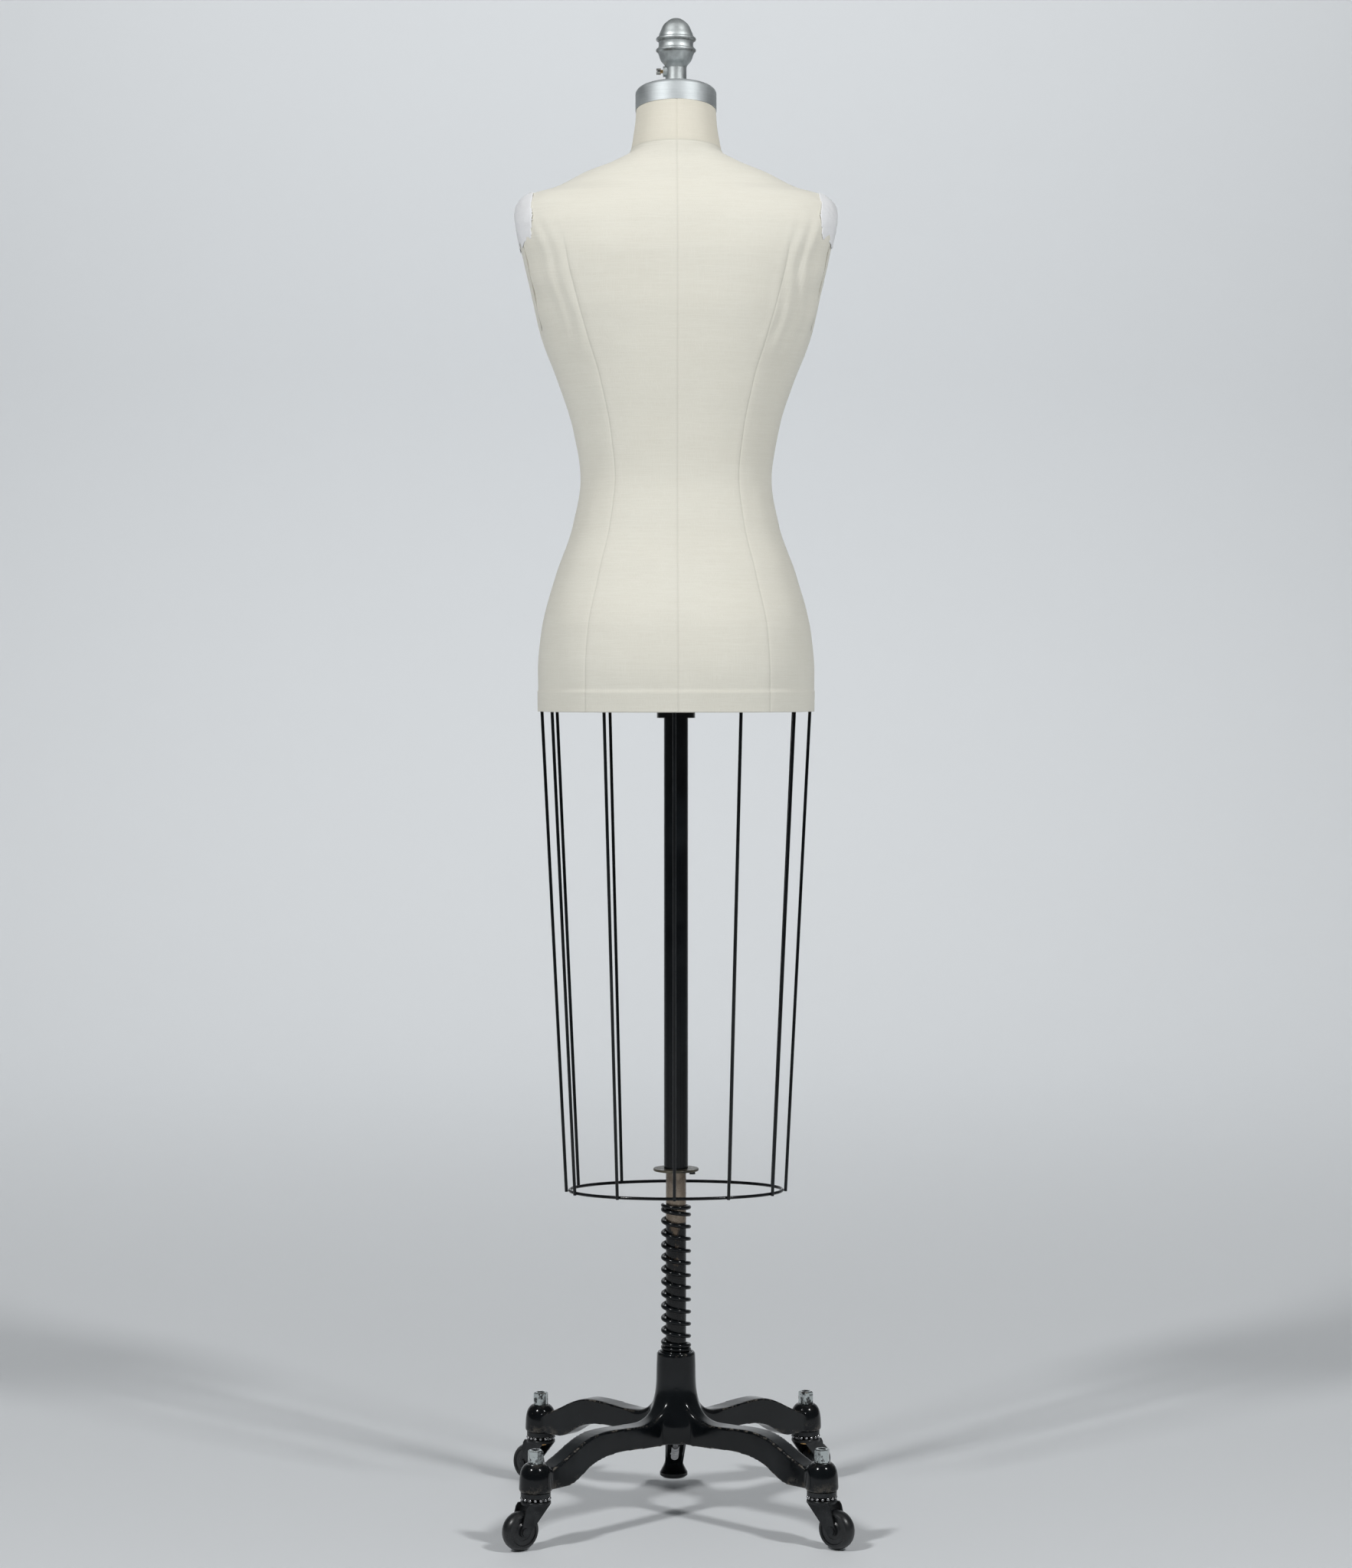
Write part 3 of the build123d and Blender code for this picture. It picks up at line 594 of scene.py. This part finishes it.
def build_linen_cover():
    angles = seam_columns()
    heights = np.concatenate([
        np.array([1.0102, 1.0112, 1.0125]),
        np.arange(1.015, HEM_TOP - 0.001, 0.003),
        np.array([HEM_TOP - 0.0006, HEM_TOP + 0.0006]),
        np.arange(HEM_TOP + 0.004, 1.60, 0.0045),
        np.arange(1.60, 1.645, 0.002),
        np.arange(1.645, 1.7055, 0.0009),
        NECK_SEAM_Z + np.array([-0.0016, -0.0008, 0.0, 0.0008, 0.0016]),
        np.arange(1.712, COVER_TOP, 0.0028),
        np.array([COVER_TOP]),
    ])
    points = body_surface(angles, heights)
    normals = grid_normals(points, True)
    gap = np.full(points.shape[:2], 1.0)
    strength = np.zeros(points.shape[:2])
    for angle in SEAM_ANGLES:
        line = np.argmin(np.abs(angles - angle))
        away = np.linalg.norm(points - points[:, line : line + 1], axis=-1)
        runs_to_neck = abs(math.sin(2 * angle)) < 0.01
        fade = np.ones(len(heights)) if runs_to_neck else smooth_step(1.60, 1.56, heights)
        strength = np.where(away < gap, fade[:, None], strength)
        gap = np.minimum(gap, away)
    seam = strength * np.exp(-((gap / SEAM_HALF_WIDTH) ** 2))
    neck_seam = np.exp(-((heights[:, None] - NECK_SEAM_Z) / NECK_SEAM_HALF_WIDTH) ** 2)
    neck_seam = neck_seam * np.ones_like(seam)
    seam = np.maximum(seam, neck_seam)
    # Seam allowances lift the cloth a little either side of each stitched line.
    ridge = strength * np.exp(-(((gap - 0.006) / 0.0035) ** 2))
    lift = 0.00025 * ridge - 0.0004 * seam + arm_wrinkles(points)
    lift = lift + 0.00045 * cloud(points, 14, 3.0) + 0.00018 * cloud(points, 60, 8.0)
    lift = lift + 0.0008 * (heights[:, None] < HEM_TOP)
    points = points + normals * lift[..., None]
    under = points[:1] * np.array([0.955, 0.955, 1.0])
    under[..., 2] = 1.0098
    inner = points[:1] * np.array([0.94, 0.94, 1.0])
    inner[..., 2] = 1.0125
    points = np.concatenate([inner, under, points])
    seam = np.concatenate([seam[:1], seam[:1], seam])
    mesh = grid_mesh("linen_cover_cloth", points, True)
    set_attribute(mesh, "seam", seam)
    set_attribute(mesh, "neck", smooth_step(1.706, 1.711, points[..., 2] + points[..., 1] * NECK_SEAM_TILT))
    cover = add_piece("linen_cover_cloth", mesh, "form", LINEN)
    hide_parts("linen_cover", "arm_plate_left", "arm_plate_right")


build_linen_cover()


def build_torso_shell():
    """The stiff papier-mache shell just under the cover, open at the hem and the neck."""
    angles = np.linspace(-math.pi / 2, 1.5 * math.pi, 121)[:-1]
    heights = np.concatenate([np.arange(1.0135, 1.60, 0.012), np.arange(1.60, 1.7565, 0.004)])
    skin = body_surface(angles, heights)
    normals = grid_normals(skin, True)
    outer = skin - normals * SHELL_OUTSIDE
    inner = skin - normals * SHELL_INSIDE
    points = np.concatenate([inner[::-1], outer, inner[-1:]])
    mesh = grid_mesh("torso_shell_paper", points, True)
    shell = add_piece("torso_shell_paper", mesh, "form", PAPER)
    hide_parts("torso_shell_front", "torso_shell_back")


build_torso_shell()


def build_patch(side, name, seed):
    """White cotton glued over one shoulder end, frayed along its lower edge."""
    columns = np.linspace(-1.32, 1.32, 190)
    angles = columns if side > 0 else np.pi - columns
    heights = np.concatenate([np.arange(1.577, 1.640, 0.0008), np.arange(1.640, 1.6565, 0.0004)])
    points = body_surface(angles, heights)
    normals = grid_normals(points, False) * side
    rag = cloud(points, 60, seed) * 0.0075 + cloud(points, 320, seed) * 0.0022
    slack = 0.0008 + 0.0008 * cloud(points, 38, seed + 5) + 0.0004 * cloud(points, 130, seed + 9)
    x, y, z = points[..., 0], points[..., 1], points[..., 2]
    hem = PATCH_HEM_Z + PATCH_HEM_CURVE * y**2
    inside = (np.abs(x) > PATCH_EDGE_X + rag * 0.35) & (z > hem + rag)
    lifted = points + normals * slack[..., None]
    rows, count = inside.shape
    faces = []
    for r in range(rows - 1):
        for c in range(count - 1):
            if inside[r : r + 2, c : c + 2].all():
                below = r * count + c
                above = below + count
                quad = (below, below + 1, above + 1, above)
                faces.append(quad if side > 0 else quad[::-1])
    mesh = bpy.data.meshes.new(name)
    mesh.from_pydata(lifted.reshape(-1, 3).tolist(), [], faces)
    work = bmesh.new()
    work.from_mesh(mesh)
    bmesh.ops.delete(work, geom=[v for v in work.verts if not v.link_faces], context="VERTS")
    work.to_mesh(mesh)
    work.free()
    set_attribute(mesh, "seam", np.zeros(len(mesh.vertices)))
    set_attribute(mesh, "neck", np.zeros(len(mesh.vertices)))
    patch = add_piece(name, mesh, "form", WHITE_CLOTH)
    thick = patch.modifiers.new("thick", "SOLIDIFY")
    thick.thickness = PATCH_THICKNESS
    thick.offset = 1.0
    apply_modifiers(patch)
    return patch


for side, side_name, seed in ((-1, "left", 11.0), (1, "right", 29.0)):
    cloth_patch = build_patch(side, "shoulder_patch_cloth_" + side_name, seed)
    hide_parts("shoulder_patch_" + side_name)


def build_armhole_seams():
    """A fine corded seam round each arm end, where the body cloth meets the cloth of the end."""
    heights = np.arange(1.478, 1.6405, 0.0025)
    angles = np.radians(np.arange(2, 70, 0.25))
    front = body_surface(angles, heights)
    back = body_surface(-angles, heights)
    for side, side_name in ((-1, "left"), (1, "right")):
        path = []
        for half, rows in ((front, range(len(heights))), (back, range(len(heights) - 1, -1, -1))):
            for row in rows:
                past = arm_distance(half[row][:, 0], half[row][:, 2]) + ARMHOLE_INSET
                crossing = np.nonzero((past[:-1] > 0) & (past[1:] <= 0))[0]
                if len(crossing):
                    path.append(half[row][crossing[0]])
        path = np.array(path) * np.array([side, 1, 1])
        for _ in range(6):
            path = (np.roll(path, 1, axis=0) + 2 * path + np.roll(path, -1, axis=0)) / 4
        mesh = tube_mesh("armhole_seam_" + side_name, path, ARMHOLE_CORD_R, 8, True)
        set_attribute(mesh, "seam", np.full(len(mesh.vertices), 2.6))
        set_attribute(mesh, "neck", np.zeros(len(mesh.vertices)))
        add_piece("armhole_seam_" + side_name, mesh, "form", LINEN)


build_armhole_seams()


# ---- buffer spring: left-hand coil with closed ends ----
def build_spring():
    """The coil stands on closed turns in the hub's recess and ends in one closed turn on top."""
    low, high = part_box("buffer_spring")
    coil = high.x - SPRING_WIRE_R + 0.0002
    closed_pitch = 2.04 * SPRING_WIRE_R
    turns = SPRING_CLOSED_BELOW + SPRING_OPEN_TURNS + SPRING_CLOSED_ABOVE
    path = []
    height = 0.0
    for i in range(int(turns * SPRING_STEPS) + 1):
        turn = i / SPRING_STEPS
        path.append((coil * math.cos(2 * math.pi * turn), -coil * math.sin(2 * math.pi * turn), height))
        inside = min(turn - SPRING_CLOSED_BELOW, turns - SPRING_CLOSED_ABOVE - turn)
        opened = min(max(inside / 0.5 + 0.5, 0.0), 1.0)
        height += (closed_pitch + SPRING_OPENING * opened) / SPRING_STEPS
    path = np.array(path)
    bottom = low.z + SPRING_WIRE_R
    path[:, 2] = bottom + path[:, 2] * (high.z - SPRING_WIRE_R - bottom) / path[-1, 2]
    mesh = tube_mesh("buffer_spring_coil", path, SPRING_WIRE_R, 10)
    spring = add_piece("buffer_spring_coil", mesh, "base", ENAMEL_WIRE)
    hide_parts("buffer_spring")


build_spring()


# ---- base casting with soft cast fillets ----
def build_casting():
    """Blend the legs into the hub: a fine remesh, smoothed most around the hub's foot."""
    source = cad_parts["base_casting"]
    casting = add_piece("base_casting_iron", source.data.copy(), "base", ENAMEL_CAST)
    remesh = casting.modifiers.new("remesh", "REMESH")
    remesh.mode = "VOXEL"
    remesh.voxel_size = CASTING_VOXEL
    apply_modifiers(casting)
    mesh = casting.data
    co = np.empty(len(mesh.vertices) * 3)
    mesh.vertices.foreach_get("co", co)
    co = co.reshape(-1, 3)
    edges = np.empty(len(mesh.edges) * 2, dtype=np.int64)
    mesh.edges.foreach_get("vertices", edges)
    edges = edges.reshape(-1, 2)
    count = np.bincount(edges.ravel(), minlength=len(co))[:, None]
    reach = np.linalg.norm(co[:, :2], axis=1)
    blend = smooth_step(0.085, 0.050, reach) * smooth_step(0.192, 0.168, co[:, 2]) * (reach > 0.019)
    blend = blend * smooth_step(0.098, 0.104, co[:, 2])
    for step in range(CASTING_PASSES):
        total = np.zeros_like(co)
        np.add.at(total, edges[:, 0], co[edges[:, 1]])
        np.add.at(total, edges[:, 1], co[edges[:, 0]])
        share = 0.5 * (blend if step >= 2 else np.maximum(blend, 0.7))[:, None]
        co = co + share * (total / count - co)
    mesh.vertices.foreach_set("co", co.ravel())
    mesh.update()
    mesh.shade_smooth()
    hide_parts("base_casting")


build_casting()

# ---- stage, lights and camera ----
STAGE_GREY = (0.80, 0.825, 0.845)
FLOOR_FRONT = -7.0
COVE_START = 4.6
COVE_RADIUS = 2.0
COVE_STEPS = 24
WALL_TOP = 8.0
STAGE_HALF_WIDTH = 8.0
STAGE_DROP = 0.0004


def build_stage():
    """A floor that curves up into a wall behind the form."""
    profile = [(FLOOR_FRONT, 0.0), (COVE_START, 0.0)]
    for i in range(1, COVE_STEPS + 1):
        turn = math.pi / 2 * i / COVE_STEPS
        across = COVE_START + COVE_RADIUS * math.sin(turn)
        profile.append((across, COVE_RADIUS - COVE_RADIUS * math.cos(turn)))
    profile.append((COVE_START + COVE_RADIUS, WALL_TOP))
    rows = [[(side * STAGE_HALF_WIDTH, y, z - STAGE_DROP) for side in (-1, 1)] for y, z in profile]
    mesh = grid_mesh("studio_sweep", np.array(rows), False)
    mesh.shade_smooth()
    sweep = bpy.data.objects.new("studio_sweep", mesh)
    bpy.context.scene.collection.objects.link(sweep)
    s = Shader("studio_paper")
    s.colour(s.mix(s.noise(2.5, 3), tuple(c * 0.99 for c in STAGE_GREY), STAGE_GREY))
    s.set(Roughness=0.85)
    mesh.materials.append(s.material)


def add_light(name, place, aim, size, power, spread=math.pi):
    """A rectangular area light turned towards a point."""
    data = bpy.data.lights.new(name, "AREA")
    data.shape = "RECTANGLE"
    data.size, data.size_y = size
    data.energy = power
    data.spread = spread
    light = bpy.data.objects.new(name, data)
    light.location = place
    light.rotation_euler = (Vector(aim) - Vector(place)).to_track_quat("-Z", "Y").to_euler()
    bpy.context.scene.collection.objects.link(light)


build_stage()
add_light("key_left", (-2.6, -2.75, 3.9), (0, 0.1, 0.7), (0.45, 0.7), 104)
add_light("key_right", (2.6, -2.75, 3.9), (0, 0.1, 0.7), (0.45, 0.7), 97)
add_light("top", (0, -0.2, 4.4), (0, 0.4, 0), (3.4, 2.4), 7)
add_light("wall_wash", (0, 3.2, 6.2), (0, 6.4, 1.2), (7.0, 1.4), 105, math.radians(120))
world = bpy.data.worlds.new("studio_air")
world.use_nodes = True
air = world.node_tree.nodes["Background"].inputs
air["Color"].default_value = (0.93, 0.97, 1.0, 1.0)
air["Strength"].default_value = 0.10
bpy.context.scene.world = world

SENSOR_HEIGHT = 36.0
CAMERA_DISTANCE = 4.421
CAMERA_HEIGHT = 1.0536
CAMERA_YAW = -0.020
CAMERA_PITCH = 0.0304
FOCAL_OVER_HEIGHT = 2.2528
camera_data = bpy.data.cameras.new("camera")
camera_data.sensor_fit = "VERTICAL"
camera_data.sensor_height = SENSOR_HEIGHT
camera_data.lens = SENSOR_HEIGHT * FOCAL_OVER_HEIGHT
camera = bpy.data.objects.new("camera", camera_data)
camera.location = (
    CAMERA_DISTANCE * math.sin(CAMERA_YAW), -CAMERA_DISTANCE * math.cos(CAMERA_YAW), CAMERA_HEIGHT
)
camera.rotation_euler = (math.pi / 2 - CAMERA_PITCH, 0, CAMERA_YAW)
bpy.context.scene.collection.objects.link(camera)
bpy.context.scene.camera = camera
bpy.context.scene.view_settings.view_transform = "Standard"
